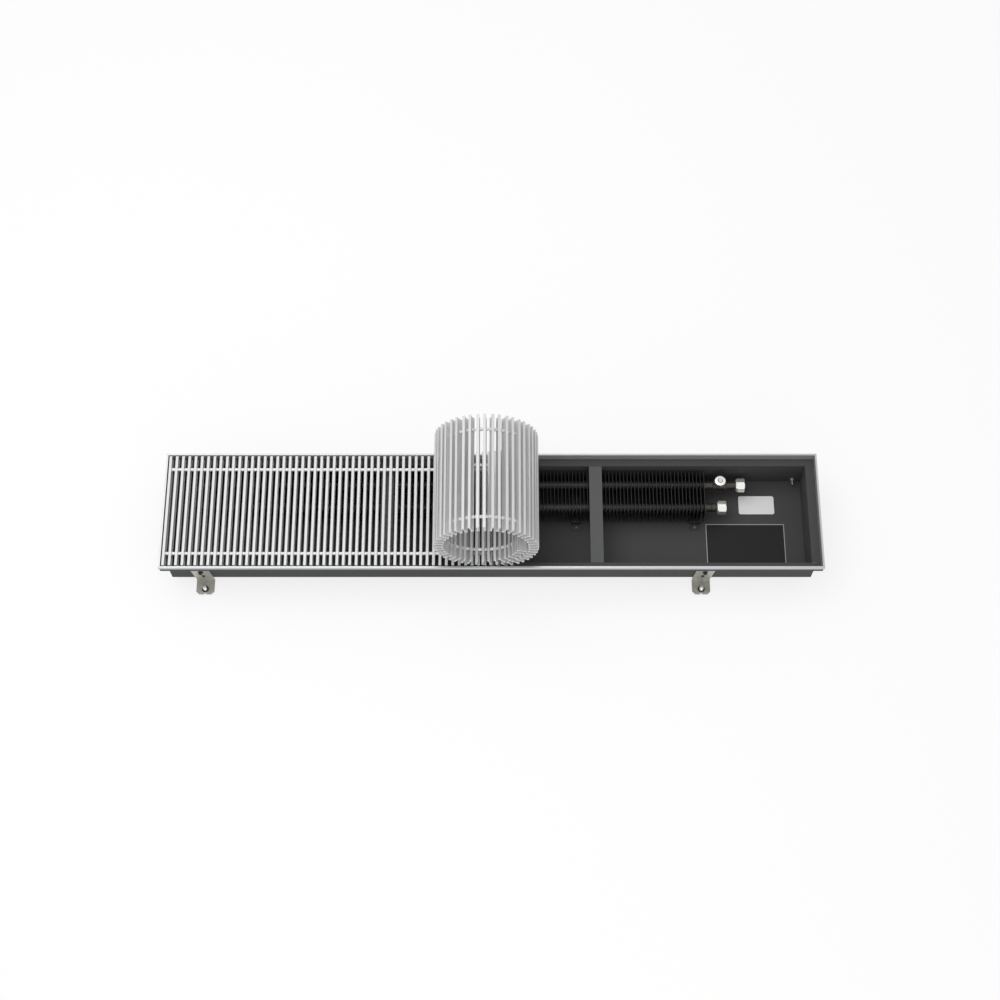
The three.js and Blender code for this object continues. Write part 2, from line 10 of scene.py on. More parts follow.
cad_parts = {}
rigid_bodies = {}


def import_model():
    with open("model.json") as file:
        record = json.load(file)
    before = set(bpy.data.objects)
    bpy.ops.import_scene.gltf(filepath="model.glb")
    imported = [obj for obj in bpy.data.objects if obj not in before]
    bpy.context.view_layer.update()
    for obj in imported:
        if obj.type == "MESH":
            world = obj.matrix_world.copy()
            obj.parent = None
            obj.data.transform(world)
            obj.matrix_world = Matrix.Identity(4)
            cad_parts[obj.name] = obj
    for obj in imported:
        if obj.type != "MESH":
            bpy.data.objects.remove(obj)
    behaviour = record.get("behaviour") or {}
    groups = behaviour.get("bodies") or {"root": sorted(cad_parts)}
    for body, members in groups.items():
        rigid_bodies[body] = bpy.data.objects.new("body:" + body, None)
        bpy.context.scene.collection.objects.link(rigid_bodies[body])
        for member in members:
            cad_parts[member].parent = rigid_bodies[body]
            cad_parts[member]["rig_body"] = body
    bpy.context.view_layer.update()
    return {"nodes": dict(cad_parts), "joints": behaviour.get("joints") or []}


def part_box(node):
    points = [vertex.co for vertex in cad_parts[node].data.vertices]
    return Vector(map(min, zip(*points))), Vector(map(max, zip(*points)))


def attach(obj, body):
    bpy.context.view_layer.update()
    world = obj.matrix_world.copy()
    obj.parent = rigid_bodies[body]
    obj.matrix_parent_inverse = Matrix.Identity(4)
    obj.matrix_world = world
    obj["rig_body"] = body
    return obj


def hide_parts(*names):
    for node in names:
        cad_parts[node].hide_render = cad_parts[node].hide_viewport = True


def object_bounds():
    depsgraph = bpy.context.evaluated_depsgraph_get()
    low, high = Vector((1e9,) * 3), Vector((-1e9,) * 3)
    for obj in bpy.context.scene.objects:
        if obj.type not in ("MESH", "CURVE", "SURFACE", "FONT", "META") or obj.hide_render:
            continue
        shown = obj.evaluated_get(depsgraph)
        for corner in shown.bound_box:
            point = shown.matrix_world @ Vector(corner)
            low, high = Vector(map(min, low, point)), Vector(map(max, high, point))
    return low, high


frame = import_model()
nodes = frame["nodes"]
for leftover in ("Cube", "Light", "Camera"):
    if leftover in bpy.data.objects:
        bpy.data.objects.remove(bpy.data.objects[leftover])


# ---------------------------------------------------------------- trough
# The floor, long walls, ledges and lips are one sheet of steel, folded, with a folded end wall set
# into each end. All of it is powder coated dark grey, with a faint orange-peel surface.

def link(tree, source, target):
    tree.links.new(source, target)


def math_node(tree, operation, first, second):
    """One arithmetic step; each argument is a socket or a number."""
    node = tree.nodes.new("ShaderNodeMath")
    node.operation = operation
    for value, socket in zip((first, second), node.inputs):
        if isinstance(value, (int, float)):
            socket.default_value = value
        else:
            link(tree, value, socket)
    return node.outputs[0]


def texture(tree, kind, scale, stretch=(1, 1, 1)):
    """A noise or cell pattern on object coordinates, scale in features per metre."""
    coordinates = tree.nodes.new("ShaderNodeTexCoord")
    mapping = tree.nodes.new("ShaderNodeMapping")
    mapping.inputs["Scale"].default_value = stretch
    link(tree, coordinates.outputs["Object"], mapping.inputs["Vector"])
    pattern = tree.nodes.new("ShaderNodeTex" + kind)
    pattern.inputs["Scale"].default_value = scale
    link(tree, mapping.outputs["Vector"], pattern.inputs["Vector"])
    if kind == "Noise":
        pattern.inputs["Detail"].default_value = 4.0
        return pattern.outputs["Fac"]
    return pattern.outputs["Color"]


def mixed(tree, factor, low, high):
    """Colour from low to high by factor."""
    node = tree.nodes.new("ShaderNodeMix")
    node.data_type = "RGBA"
    link(tree, factor, node.inputs["Factor"])
    node.inputs["A"].default_value = (*low, 1)
    node.inputs["B"].default_value = (*high, 1)
    return node.outputs["Result"]


def surface(name, low, high, roughness, metallic, grain, stretch=(1, 1, 1), bump=0.15, cloud=6.0,
            spread=0.07, shine=0.5):
    """A sheet, cast or drawn surface: fine grain in height and roughness, slow cloudiness in colour."""
    material = bpy.data.materials.new(name)
    material.use_nodes = True
    tree = material.node_tree
    shader = tree.nodes["Principled BSDF"]
    shader.inputs["Metallic"].default_value = metallic
    shader.inputs["Specular IOR Level"].default_value = shine
    fine = texture(tree, "Noise", grain, stretch)
    slow = texture(tree, "Noise", cloud)
    blend = math_node(tree, "MULTIPLY", math_node(tree, "ADD", fine, slow), 0.5)
    link(tree, mixed(tree, blend, low, high), shader.inputs["Base Color"])
    rough = math_node(tree, "ADD", math_node(tree, "MULTIPLY", fine, 2 * spread), roughness - spread)
    link(tree, rough, shader.inputs["Roughness"])
    relief = tree.nodes.new("ShaderNodeBump")
    relief.inputs["Strength"].default_value = bump
    relief.inputs["Distance"].default_value = 0.0001
    link(tree, fine, relief.inputs["Height"])
    link(tree, relief.outputs["Normal"], shader.inputs["Normal"])
    return material


def dress(obj, material, edge=0.0):
    """Gives a piece its material and, where edge is set, softens its folds and cut edges."""
    obj.data.materials.clear()
    obj.data.materials.append(material)
    if edge:
        weld = obj.modifiers.new("one skin", "WELD")
        weld.merge_threshold = 0.00002
        bevel = obj.modifiers.new("soft edges", "BEVEL")
        bevel.width = edge
        bevel.segments = 2
        bevel.limit_method = "ANGLE"
        bevel.angle_limit = math.radians(35)
        bevel.use_clamp_overlap = True


FOLD_EDGE = 0.00025
trough_coat = surface("dark grey powder coat", (0.060, 0.060, 0.061), (0.086, 0.086, 0.087), 0.6, 0.0,
                      1500, shine=0.05)
for name in ("casing", "end_wall_right", "end_wall_left"):
    dress(nodes[name], trough_coat, FOLD_EDGE)


# ---------------------------------------------------------------- edge frame
# Four drawn aluminium rails, mitred at the corners and pushed over the lip of the trough. They are
# anodised in the natural silver colour and show fine lines along the draw; the end rails get a slightly
# darker silver, which is painted shade. The end rails keep their sharp edges, which softened would
# stand past the corners.

RAIL_EDGE = 0.0002
rail_along_x = surface("anodised rail along the trench", (0.42, 0.43, 0.44), (0.56, 0.57, 0.58), 0.3,
                       0.5, 700, (0.02, 1, 1), 0.2)
# Painted shade: the rails across the trench are the same anodised silver as the long rails, coloured a
# little darker to stand in for the lesser light they catch.
rail_across_painted_darker = surface("anodised rail across the trench, darker for painted shade", (0.40, 0.41, 0.42), (0.54, 0.55, 0.56), 0.3,
                       0.5, 700, (1, 0.02, 1), 0.2)
for side in ("back", "front"):
    dress(nodes["frame_rail_" + side], rail_along_x, RAIL_EDGE)
for side in ("left", "right"):
    dress(nodes["frame_rail_" + side], rail_across_painted_darker)


# ---------------------------------------------------------------- cross braces
# Two folded channels of grey coated steel between the long walls hold them apart under the grille.
# Each tab is held to the wall by two pan-head screws.

def finished(name, mesh, body, material, smooth=True, replaced=()):
    """Makes a bmesh a piece that rides on a body."""
    data = bpy.data.meshes.new(name)
    bmesh.ops.remove_doubles(mesh, verts=mesh.verts, dist=0.000001)
    bmesh.ops.recalc_face_normals(mesh, faces=mesh.faces)
    mesh.to_mesh(data)
    mesh.free()
    obj = bpy.data.objects.new(name, data)
    bpy.context.scene.collection.objects.link(obj)
    data.materials.append(material)
    if smooth:
        for face in data.polygons:
            face.use_smooth = True
        data.set_sharp_from_angle(angle=math.radians(32))
    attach(obj, body)
    if replaced:
        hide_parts(*replaced)
    return obj


def lathe(mesh, profile, matrix, steps=32):
    """Adds a turned shape: (radius, height) points spun about Z, then put in place by the matrix."""
    points = [mesh.verts.new((radius, 0, height)) for radius, height in profile]
    edges = [mesh.edges.new(pair) for pair in zip(points, points[1:])]
    made = bmesh.ops.spin(mesh, geom=points + edges, cent=(0, 0, 0), axis=(0, 0, 1), dvec=(0, 0, 0),
                          angle=2 * math.pi, steps=steps, use_merge=True, use_duplicate=False)
    ring = {item for item in made["geom_last"] if isinstance(item, bmesh.types.BMVert)}
    seen, queue = set(points) | ring, list(set(points) | ring)
    while queue:
        for edge in queue.pop().link_edges:
            for vertex in edge.verts:
                if vertex not in seen:
                    seen.add(vertex)
                    queue.append(vertex)
    bmesh.ops.remove_doubles(mesh, verts=list(seen), dist=0.000001)
    bmesh.ops.transform(mesh, matrix=matrix, verts=[v for v in seen if v.is_valid])


def facing(place, direction):
    """The matrix that stands a turned shape at a place with its top towards a direction."""
    return Matrix.Translation(place) @ Vector(direction).to_track_quat("Z", "Y").to_matrix().to_4x4()


BRACE_EDGE = 0.0003
BRACE_SCREW_SPACING = 0.013
BRACE_TAB = 0.0015
BRACE_SCREW_HEIGHT = 0.0075
SCREW_HEAD = [(0, -0.0009), (0.0013, -0.0009), (0.0016, 0.0019), (0.0026, 0.0016), (0.0034, 0.0009),
              (0.0036, 0)]
brace_coat = surface("grey coat on the braces", (0.042, 0.043, 0.044), (0.064, 0.065, 0.066), 0.45, 0.0,
                     1300)
screw_zinc = surface("bright zinc", (0.5, 0.5, 0.49), (0.66, 0.66, 0.64), 0.3, 0.9, 900, bump=0.1,
                     cloud=60)
for end in ("left", "right"):
    node = "cross_brace_" + end
    dress(nodes[node], brace_coat, BRACE_EDGE)
    low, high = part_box(node)
    heads = bmesh.new()
    for way in (1, -1):
        for offset in (-BRACE_SCREW_SPACING / 2, BRACE_SCREW_SPACING / 2):
            screw_x = (low.x + high.x) / 2 + offset
            head_place = (screw_x, way * (high.y - BRACE_TAB), low.z + BRACE_SCREW_HEIGHT)
            lathe(heads, SCREW_HEAD, facing(head_place, (0, -way, 0)), 24)
    finished("brace_screws_" + end, heads, "trough", screw_zinc)


# ---------------------------------------------------------------- corner welds
# At each corner of the trough a tab of the same sheet closes the lip, and a weld joins the ledges.
# Both are ground flush and coated with the trough.

SHEET = 0.001
SEAM = 0.0003
LEDGE_END = 0.0098
wall_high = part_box("end_wall_right")[1]
rail_low, rail_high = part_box("frame_rail_right")
for side, way in (("back", 1), ("front", -1)):
    for end, hand in (("right", 1), ("left", -1)):
        lip_y = rail_high.y - (rail_high.x - wall_high.x) - SHEET
        tab = (lip_y - wall_high.y - SEAM, wall_high.z - rail_low.z)
        tab_middle = (wall_high.y + SEAM + tab[0] / 2, rail_low.z + tab[1] / 2)
        seam_middle = (wall_high.x - LEDGE_END / 2, wall_high.y + SEAM / 2, rail_low.z - SEAM - SHEET / 2)
        welds = (((SHEET, tab[0], tab[1]), (wall_high.x - SHEET / 2, *tab_middle)),
                 ((LEDGE_END, SEAM, SHEET), seam_middle))
        weld = bmesh.new()
        for size, middle in welds:
            cube = bmesh.ops.create_cube(weld, size=1)["verts"]
            bmesh.ops.scale(weld, vec=size, verts=cube)
            bmesh.ops.translate(weld, vec=(hand * middle[0], way * middle[1], middle[2]), verts=cube)
        finished("corner_weld_%s_%s" % (side, end), weld, "trough", trough_coat,
                 smooth=False)


# ---------------------------------------------------------------- heat exchanger
# Thin black coated aluminium fins, pressed on two copper water pipes. A drawn collar on each fin
# grips the pipe and sets the distance to the next one.

FIN_COUNT = 136
FIN_SHEET = 0.00035
FIN_CORNER = 0.004
PIPE_STUB = 0.012
PIPE_RADIUS = 0.0075
PIPE_SPACING = 0.046
core_low, core_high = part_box("exchanger_core")
core_y = (core_low.y + core_high.y) / 2
fins_left = core_low.x + PIPE_STUB
fins_right = core_high.x - PIPE_STUB
pipe_z = (core_low.z + core_high.z) / 2
pipe_places = [core_y + way * PIPE_SPACING / 2 for way in (1, -1)]
fin_pitch = (fins_right - fins_left - FIN_SHEET) / (FIN_COUNT - 1)

fin_black = surface("black coated fins", (0.028, 0.028, 0.029), (0.062, 0.062, 0.064), 0.42, 0.2, 500,
                    bump=0.1)
pipe_dark = surface("dark coated copper pipe", (0.030, 0.027, 0.024), (0.075, 0.070, 0.062), 0.35, 0.5,
                    600, cloud=40)

fin = bmesh.new()
bmesh.ops.create_grid(fin, x_segments=1, y_segments=1, size=0.5)
bmesh.ops.scale(fin, vec=(core_high.z - core_low.z, core_high.y - core_low.y, 1), verts=fin.verts)
bmesh.ops.bevel(fin, geom=list(fin.verts), offset=FIN_CORNER, offset_type="OFFSET", segments=3,
                profile=0.5, affect="VERTICES", material=-1)
bmesh.ops.rotate(fin, cent=(0, 0, 0), matrix=Matrix.Rotation(math.pi / 2, 3, "Y"), verts=fin.verts)
bmesh.ops.translate(fin, vec=(fins_left, core_y, pipe_z), verts=fin.verts)
plate = bmesh.ops.extrude_face_region(fin, geom=fin.faces[:])
bmesh.ops.translate(fin, vec=(FIN_SHEET, 0, 0),
                    verts=[item for item in plate["geom"] if isinstance(item, bmesh.types.BMVert)])
COLLAR = [(PIPE_RADIUS, 0.0), (PIPE_RADIUS + 0.0022, 0.0), (PIPE_RADIUS + 0.0012, 0.0009),
          (PIPE_RADIUS + 0.0009, 0.0048), (PIPE_RADIUS, 0.0050)]
for y in pipe_places:
    lathe(fin, COLLAR, facing((fins_left + FIN_SHEET, y, pipe_z), (1, 0, 0)), 12)
fins = finished("exchanger_fins", fin, "trough", fin_black, smooth=False)
row = fins.modifiers.new("fin after fin", "ARRAY")
row.count = FIN_COUNT
row.use_relative_offset = False
row.use_constant_offset = True
row.constant_offset_displace = (fin_pitch, 0, 0)

pipes = bmesh.new()
pipe_length = core_high.x - core_low.x
for y in pipe_places:
    lathe(pipes, [(0, 0), (PIPE_RADIUS, 0), (PIPE_RADIUS, pipe_length), (0, pipe_length)],
          facing((core_low.x, y, pipe_z), (1, 0, 0)), 32)
finished("exchanger_pipes", pipes, "trough", pipe_dark, replaced=("exchanger_core",))

dress(nodes["return_bend"], pipe_dark)
for face in nodes["return_bend"].data.polygons:
    face.use_smooth = True


# ---------------------------------------------------------------- flow and return tails
# Short dark copper tails, soldered to the exchanger pipes. The flow tail runs through a tee with the
# same dark coat, whose upright boss carries the air vent.

TEE_LENGTH = 0.026
TEE_RADIUS = 0.0092
TEE_RIM = 0.0098
TEE_MOUTH = 0.0088
TEE_BOSS = [(0, 0), (0.0068, 0), (0.0068, 0.0115), (0.0075, 0.0125), (0.0075, 0.016), (0, 0.016)]
tail_low, tail_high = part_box("flow_tee")
tail_length = tail_high.x - tail_low.x
vent_low, vent_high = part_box("air_vent")
vent_x = (vent_low.x + vent_high.x) / 2
tee = vent_x - TEE_LENGTH / 2 - tail_low.x
flow = bmesh.new()
lathe(flow, [(0, 0), (PIPE_RADIUS, 0), (PIPE_RADIUS, tee), (TEE_MOUTH, tee), (TEE_RIM, tee + 0.001),
             (TEE_RIM, tee + 0.005), (TEE_RADIUS, tee + 0.006), (TEE_RADIUS, tee + 0.020),
             (TEE_RIM, tee + 0.021), (TEE_RIM, tee + 0.025), (TEE_MOUTH, tee + TEE_LENGTH),
             (PIPE_RADIUS, tee + TEE_LENGTH), (PIPE_RADIUS, tail_length), (0, tail_length)],
      facing((tail_low.x, pipe_places[0], pipe_z), (1, 0, 0)), 32)
lathe(flow, TEE_BOSS, facing((vent_x, pipe_places[0], pipe_z), (0, 0, 1)), 32)
finished("flow_tail_and_tee", flow, "trough", pipe_dark, replaced=("flow_tee",))

SLEEVE_ON_TAIL = 0.0084
stub_low, stub_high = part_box("return_tail")
stub_length = stub_high.x - stub_low.x
back = bmesh.new()
lathe(back, [(0, 0), (PIPE_RADIUS, 0), (PIPE_RADIUS, 0.002), (SLEEVE_ON_TAIL, 0.003),
             (SLEEVE_ON_TAIL, 0.009), (PIPE_RADIUS, 0.010), (PIPE_RADIUS, stub_length), (0, stub_length)],
      facing((stub_low.x, pipe_places[1], pipe_z), (1, 0, 0)), 32)
finished("return_tail_pipe", back, "trough", pipe_dark, replaced=("return_tail",))


# ---------------------------------------------------------------- union nuts
# Nickel plated brass nuts, loose on the tails: a round collar, then a hexagon with chamfered
# corners around the bore for the supply pipe.

HALF_FLATS = 0.012
NUT_BORE = 0.0079
NUT_THICKNESS = 0.0146
CORNER_REACH = 1.11
CHAMFER_FROM = 1.04
CHAMFER = 0.0012
COLLAR_DEPTH = 0.002
NUT_COLLAR = [(NUT_BORE, 0), (0.0108, 0), (0.0113, 0.0005), (0.0113, 0.0022), (NUT_BORE, 0.0022),
              (NUT_BORE, 0)]
nickel = surface("bright nickel plate", (0.84, 0.83, 0.80), (0.96, 0.95, 0.92), 0.22, 0.7, 700, bump=0.08,
                 cloud=50)
for node in ("flow_union_nut", "return_union_nut"):
    low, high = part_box(node)
    axis_y = (low.y + high.y) / 2
    nut = bmesh.new()
    outer = bmesh.ops.create_circle(nut, segments=48, radius=HALF_FLATS)["verts"]
    for vertex in outer:
        turn = (math.atan2(vertex.co.y, vertex.co.x) + math.pi / 6) % (math.pi / 3) - math.pi / 6
        vertex.co *= min(1 / math.cos(turn), CORNER_REACH)
    bmesh.ops.create_circle(nut, segments=48, radius=NUT_BORE)
    bmesh.ops.bridge_loops(nut, edges=nut.edges[:])
    wall = bmesh.ops.extrude_face_region(nut, geom=nut.faces[:])
    bmesh.ops.translate(nut, vec=(0, 0, NUT_THICKNESS),
                        verts=[item for item in wall["geom"] if isinstance(item, bmesh.types.BMVert)])
    for vertex in nut.verts:
        out = vertex.co.xy.length / HALF_FLATS
        if out > CHAMFER_FROM:
            inward = CHAMFER if vertex.co.z < NUT_THICKNESS / 2 else -CHAMFER
            vertex.co.z += inward * (out - CHAMFER_FROM) / (CORNER_REACH - CHAMFER_FROM)
    bmesh.ops.translate(nut, vec=(0, 0, COLLAR_DEPTH), verts=nut.verts)
    lathe(nut, NUT_COLLAR, Matrix.Identity(4), 48)
    bmesh.ops.transform(nut, matrix=facing((low.x, axis_y, pipe_z), (1, 0, 0)), verts=nut.verts)
    finished(node + "_chamfered", nut, node, nickel, replaced=(node,))


# ---------------------------------------------------------------- air vent
# A round nickel plated head on the tee, with a bleed screw in the middle that is turned with a
# screwdriver, and a small outlet beside it.

cap_radius = (vent_high.x - vent_low.x) / 2
cap_height = vent_high.z - vent_low.z
cap = bmesh.new()
lathe(cap, [(0, 0), (0.0075, 0), (cap_radius - 0.0004, 0.0021), (cap_radius, 0.0026),
            (cap_radius, cap_height - 0.0020), (cap_radius - 0.0006, cap_height - 0.0009),
            (cap_radius - 0.0017, cap_height - 0.0003), (cap_radius - 0.0030, cap_height),
            (0.0056, cap_height), (0.0050, cap_height - 0.0004), (0.0043, cap_height - 0.0008),
            (0.0043, cap_height - 0.0027), (0, cap_height - 0.0027)],
      facing((vent_x, pipe_places[0], vent_low.z), (0, 0, 1)), 48)
finished("air_vent_head", cap, "trough", nickel, replaced=("air_vent",))

OUTLET = [(0, -0.0008), (0.0010, -0.0008), (0.0010, 0.0004), (0.0017, 0.0004), (0.0017, -0.0008)]
OUTLET_FROM_MIDDLE = 0.0072
outlet_place = (vent_x + OUTLET_FROM_MIDDLE, pipe_places[0] - 0.0001, vent_high.z - 0.0006)
outlet = bmesh.new()
lathe(outlet, OUTLET, facing(outlet_place, (0, 0, 1)), 20)
finished("air_vent_outlet", outlet, "trough", pipe_dark)

HALF_SLOT = 0.0007
SLOT_DEPTH = 0.0014
bleed_low, bleed_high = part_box("bleed_screw")
bleed_radius = (bleed_high.x - bleed_low.x) / 2
bleed_height = bleed_high.z - bleed_low.z
plug = bmesh.new()
lathe(plug, [(0, 0), (bleed_radius, 0), (bleed_radius, bleed_height - 0.0006),
             (bleed_radius - 0.0006, bleed_height), (0, bleed_height)],
      facing((vent_x, pipe_places[0], bleed_low.z), (0, 0, 1)), 32)
for side in (-HALF_SLOT, HALF_SLOT):
    bmesh.ops.bisect_plane(plug, geom=plug.verts[:] + plug.edges[:] + plug.faces[:],
                           plane_co=(0, pipe_places[0] + side, 0), plane_no=(0, 1, 0))
slot_floor = [face for face in plug.faces if face.normal.z > 0.9
              and abs(face.calc_center_median().y - pipe_places[0]) < 0.9 * HALF_SLOT]
groove = bmesh.ops.extrude_face_region(plug, geom=slot_floor)
bmesh.ops.translate(plug, vec=(0, 0, -SLOT_DEPTH),
                    verts=[item for item in groove["geom"] if isinstance(item, bmesh.types.BMVert)])
bmesh.ops.delete(plug, geom=slot_floor, context="FACES_ONLY")
finished("bleed_screw_head", plug, "bleed_screw", screw_zinc, replaced=("bleed_screw",))


# ---------------------------------------------------------------- exchanger supports
# Five folded saddles of black coated steel on the trough floor carry the fins. Their front tabs are
# held down by a rivet each.

SUPPORT_COUNT = 5
SUPPORT_EDGE = 0.0002
SUPPORT_SHEET = 0.0012
RIVET_FROM_FRONT = 0.0062
RIVET = [(0, 0.0014), (0.0016, 0.0012), (0.0027, 0.0006), (0.0031, 0)]
support_coat = surface("black coat on the supports", (0.014, 0.014, 0.014), (0.026, 0.026, 0.026), 0.5,
                       0.0, 1300)
rivet_grey = surface("grey rivets", (0.10, 0.10, 0.10), (0.17, 0.17, 0.17), 0.4, 0.4, 900, cloud=40)
for number in range(1, SUPPORT_COUNT + 1):
    node = "exchanger_support_%d" % number
    dress(nodes[node], support_coat, SUPPORT_EDGE)
    low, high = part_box(node)
    rivet_place = ((low.x + high.x) / 2, low.y + RIVET_FROM_FRONT, low.z + SUPPORT_SHEET)
    rivets = bmesh.new()
    lathe(rivets, RIVET, facing(rivet_place, (0, 0, 1)), 20)
    finished("support_rivet_%d" % number, rivets, "trough", rivet_grey)


# ---------------------------------------------------------------- labels
# Two plain printed-film labels on the floor beside the connections, both left bare: a white one
# with round corners and a black one with a thin pale edge.

def film(name, left, right, front, rear, corner, level, thickness, material):
    """A thin rounded sheet on the trough floor."""
    sheet = bmesh.new()
    bmesh.ops.create_grid(sheet, x_segments=1, y_segments=1, size=0.5)
    bmesh.ops.scale(sheet, vec=(right - left, rear - front, 1), verts=sheet.verts)
    bmesh.ops.bevel(sheet, geom=list(sheet.verts), offset=corner, offset_type="OFFSET", segments=6,
                    profile=0.5, affect="VERTICES", material=-1)
    bmesh.ops.translate(sheet, vec=((left + right) / 2, (front + rear) / 2, level), verts=sheet.verts)
    raised = bmesh.ops.extrude_face_region(sheet, geom=sheet.faces[:])
    bmesh.ops.translate(sheet, vec=(0, 0, thickness),
                        verts=[item for item in raised["geom"] if isinstance(item, bmesh.types.BMVert)])
    finished(name, sheet, "trough", material, smooth=False)


film_white = surface("white label film", (0.80, 0.80, 0.81), (0.86, 0.86, 0.86), 0.4, 0.0, 400, bump=0.03,
                     shine=0.2)
film_black = surface("black label film", (0.006, 0.006, 0.007), (0.010, 0.010, 0.011), 0.38, 0.0, 400,
                     bump=0.03, shine=0.2)
film_edge = surface("pale edge of the black label", (0.33, 0.33, 0.34), (0.42, 0.42, 0.43), 0.4, 0.0, 400,
                    bump=0.03)
FILM = 0.0002
FLOOR_TOP = 0.001
WHITE_LEFT, WHITE_RIGHT = 0.4707, 0.5382
WHITE_FRONT, WHITE_REAR = 0.0289, 0.0663
WHITE_CORNER = 0.004
BLACK_LEFT, BLACK_RIGHT = 0.4059, 0.5547
BLACK_FRONT, BLACK_REAR = -0.0722, 0.0083
BLACK_CORNER = 0.001
PALE_EDGE = 0.0014
PRINT_CORNER = 0.0008
PRINT_LEVEL = 0.00015
PRINT = 0.00012
film("white_label", WHITE_LEFT, WHITE_RIGHT, WHITE_FRONT, WHITE_REAR, WHITE_CORNER, FLOOR_TOP, FILM,
     film_white)
film("black_label_edge", BLACK_LEFT, BLACK_RIGHT, BLACK_FRONT, BLACK_REAR, BLACK_CORNER, FLOOR_TOP, FILM,
     film_edge)
film("black_label", BLACK_LEFT + PALE_EDGE, BLACK_RIGHT - PALE_EDGE, BLACK_FRONT + PALE_EDGE,
     BLACK_REAR - PALE_EDGE, PRINT_CORNER, FLOOR_TOP + PRINT_LEVEL, PRINT, film_black)


# ---------------------------------------------------------------- earthing stud
# A zinc plated threaded stud, welded to the inside of the back wall near its right end, with a nut
# on it for the earth wire.

STUD_EDGE = 0.0002
dress(nodes["earth_stud"], screw_zinc, STUD_EDGE)


# ---------------------------------------------------------------- brackets
# Stamped galvanised steel angles on the long walls, each held by a black flange-head screw in its
# upper slot. A black nylon ring keeps the levelling screw in the foot.

BRACKET_EDGE = 0.0004
BRACKET_SHEET = 0.002
BRACKET_FACE = 0.1009
SLOT_LEAN = 0.0045
UPPER_SLOT = 0.031
FLANGE_HEAD = [(0, 0.0022), (0.0017, 0.0022), (0.0019, 0.0044), (0.0034, 0.0044), (0.0038, 0.0040),
               (0.0038, 0.0014), (0.0052, 0.0009), (0.0053, 0.0)]
NYLON_RING = [(0.0037, 0.0), (0.0063, 0.0), (0.0065, 0.0006), (0.0063, 0.0024), (0.0052, 0.0034),
              (0.0040, 0.0034), (0.0037, 0.0028), (0.0037, 0.0)]

zinc_coat = bpy.data.materials.new("spangled zinc")
zinc_coat.use_nodes = True
zinc_tree = zinc_coat.node_tree
zinc_shader = zinc_tree.nodes["Principled BSDF"]
zinc_shader.inputs["Metallic"].default_value = 0.6
spangle = texture(zinc_tree, "Voronoi", 240)
spangle_grey = zinc_tree.nodes.new("ShaderNodeRGBToBW")
link(zinc_tree, spangle, spangle_grey.inputs["Color"])
cloudy = texture(zinc_tree, "Noise", 90)
flakes = math_node(zinc_tree, "MULTIPLY", spangle_grey.outputs["Val"], 0.45)
clouds = math_node(zinc_tree, "MULTIPLY", cloudy, 0.55)
zinc_blend = math_node(zinc_tree, "ADD", flakes, clouds)
link(zinc_tree, mixed(zinc_tree, zinc_blend, (0.36, 0.36, 0.32), (0.56, 0.55, 0.50)),
     zinc_shader.inputs["Base Color"])
zinc_rough = math_node(zinc_tree, "MULTIPLY", spangle_grey.outputs["Val"], 0.2)
link(zinc_tree, math_node(zinc_tree, "ADD", zinc_rough, 0.32), zinc_shader.inputs["Roughness"])

black_nylon = surface("black nylon", (0.012, 0.012, 0.012), (0.024, 0.024, 0.023), 0.45, 0.0, 800)
for side, way in (("back", 1), ("front", -1)):
    for end, hand in (("left", -1), ("right", 1)):
        node = "bracket_%s_%s" % (side, end)
        dress(nodes[node], zinc_coat, BRACKET_EDGE)
        low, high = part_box(node)
        pad_low, pad_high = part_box("levelling_screw_%s_%s" % (side, end))
        screw_x = (pad_low.x + pad_high.x) / 2
        screw_y = (pad_low.y + pad_high.y) / 2
        head_place = (screw_x + hand * SLOT_LEAN, way * BRACKET_FACE, UPPER_SLOT)
        ring_place = (screw_x, screw_y, low.z + BRACKET_SHEET)
        fasteners = bmesh.new()
        lathe(fasteners, FLANGE_HEAD, facing(head_place, (0, way, 0)), 24)
        lathe(fasteners, NYLON_RING, facing(ring_place, (0, 0, 1)), 32)
        finished("bracket_fasteners_%s_%s" % (side, end), fasteners, "trough", black_nylon)


# ---------------------------------------------------------------- levelling screws
# Zinc plated threaded screws through the bracket feet, each on a swivel pad and turned by the
# socket in its top.

THREAD_PITCH = 0.00125
THREAD_ROOT = 0.0032
THREAD_CREST = 0.0037
THREAD_START = 0.0045
THREAD_END = 0.0016
SOCKET = 0.0020
SOCKET_DEPTH = 0.004
for side in ("back", "front"):
    for end in ("left", "right"):
        node = "levelling_screw_%s_%s" % (side, end)
        low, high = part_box(node)
        middle = ((low.x + high.x) / 2, (low.y + high.y) / 2, low.z)
        pad = (high.x - low.x) / 2
        length = high.z - low.z
        profile = [(0, 0), (pad - 0.0006, 0), (pad, 0.0005), (pad, 0.0018), (pad - 0.0008, 0.0022),
                   (0.0052, 0.0039), (THREAD_ROOT, 0.004)]
        ridge = THREAD_START
        while ridge < length - THREAD_END:
            profile += [(THREAD_ROOT, ridge), (THREAD_CREST, ridge + THREAD_PITCH * 0.45),
                        (THREAD_CREST, ridge + THREAD_PITCH * 0.55)]
            ridge += THREAD_PITCH
        profile += [(THREAD_ROOT, length - 0.0012), (0.0030, length - 0.0003), (0.0027, length),
                    (SOCKET + 0.0002, length), (SOCKET, length - 0.0004), (SOCKET, length - SOCKET_DEPTH),
                    (0, length - SOCKET_DEPTH)]
        screw = bmesh.new()
        lathe(screw, profile, facing(middle, (0, 0, 1)), 24)
        finished(node + "_threaded", screw, node, screw_zinc, replaced=(node,))


# ---------------------------------------------------------------- grille
# Drawn aluminium lamellae of double-T section, anodised silver, threaded on two spring rods with a
# round spacer sleeve between neighbours. The right half is rolled up and stands on the flat half.

